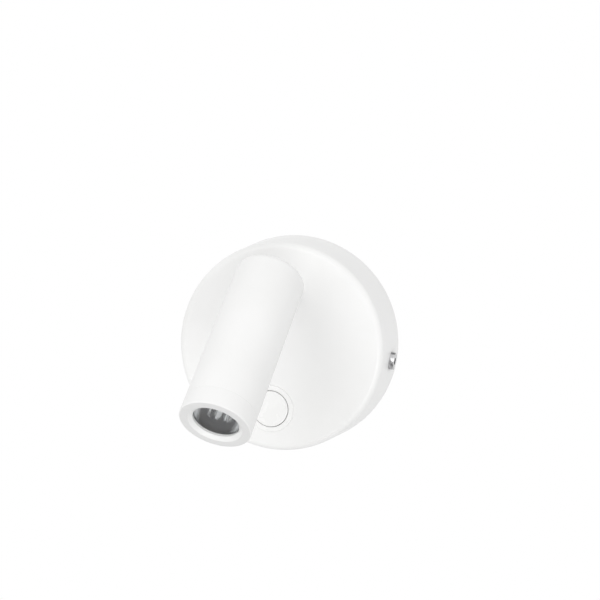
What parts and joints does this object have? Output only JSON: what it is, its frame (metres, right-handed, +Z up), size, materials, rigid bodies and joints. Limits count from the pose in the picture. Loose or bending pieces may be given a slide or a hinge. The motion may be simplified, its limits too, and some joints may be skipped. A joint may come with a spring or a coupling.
{
  "type": "pivoting spotlight wall light",
  "caption": "Round wall light with a push switch on its face and a tubular LED spot that swivels and tilts on a short stem.",
  "frame": {"origin": "middle of the back of the base, on the wall plane", "axes": "+Z up, +Y into the wall, the light stands out along -Y, +X to the right seen from the room"},
  "size_m": [0.1022, 0.1269, 0.1],
  "materials": {
    "white_paint": "satin white powder coat",
    "white_plastic": "smooth white",
    "white_nylon": "natural nylon",
    "zinc_steel": "zinc plated",
    "chrome_screw": "nickel plated",
    "black_rubber": "matt",
    "driver_plastic": "moulded",
    "terminal_plastic": "moulded",
    "brass_parts": "plain",
    "bare_aluminium": "machined",
    "white_board": "solder mask",
    "led_phosphor": "phosphor",
    "bright_reflector": "metallised",
    "clear_lens": "clear"
  },
  "bodies": {
    "base": {"base_cover": "white_paint", "wall_plate": "zinc_steel", "cover_screws": "chrome_screw", "switch_nut": "zinc_steel", "spring_washer": "zinc_steel", "slip_washer": "white_nylon", "cable_grommet": "black_rubber", "led_driver": "driver_plastic", "driver_lid": "driver_plastic", "driver_screws": "zinc_steel", "terminal_block": "terminal_plastic", "terminal_screws": "brass_parts", "earth_washer": "brass_parts", "earth_screw": "brass_parts", "switch_bezel": "white_plastic", "switch_body": "terminal_plastic"},
    "swivel": {"stem": "white_paint", "stem_nut": "zinc_steel"},
    "head": {"head_shell": "white_paint", "tilt_yoke": "bare_aluminium", "yoke_screws": "zinc_steel", "tilt_screw": "chrome_screw", "tilt_nut": "zinc_steel", "friction_washers": "white_nylon", "heat_sink": "bare_aluminium", "led_board": "white_board", "board_screws": "zinc_steel", "led_emitter": "led_phosphor", "front_ring": "white_paint", "lens_gasket": "black_rubber", "lens": "clear_lens", "reflector": "bright_reflector"},
    "button": {"switch_button": "white_plastic"}
  },
  "joints": [
    {"name": "head_pan", "type": "hinge", "parent": "base", "child": "swivel", "pos_m": [0, -0.0295, 0.027], "axis": [0, -1, 0], "range_deg": [-170, 170]},
    {"name": "head_tilt", "type": "hinge", "parent": "swivel", "child": "head", "pos_m": [0, -0.0685, 0.027], "axis": [1, 0, 0], "range_deg": [-45, 45]},
    {"name": "button_press", "type": "slide", "parent": "base", "child": "button", "axis": [0, 1, 0], "range_m": [0, 0.002], "stiffness_N_per_m": 600, "springref_m": -0.001}
  ]
}
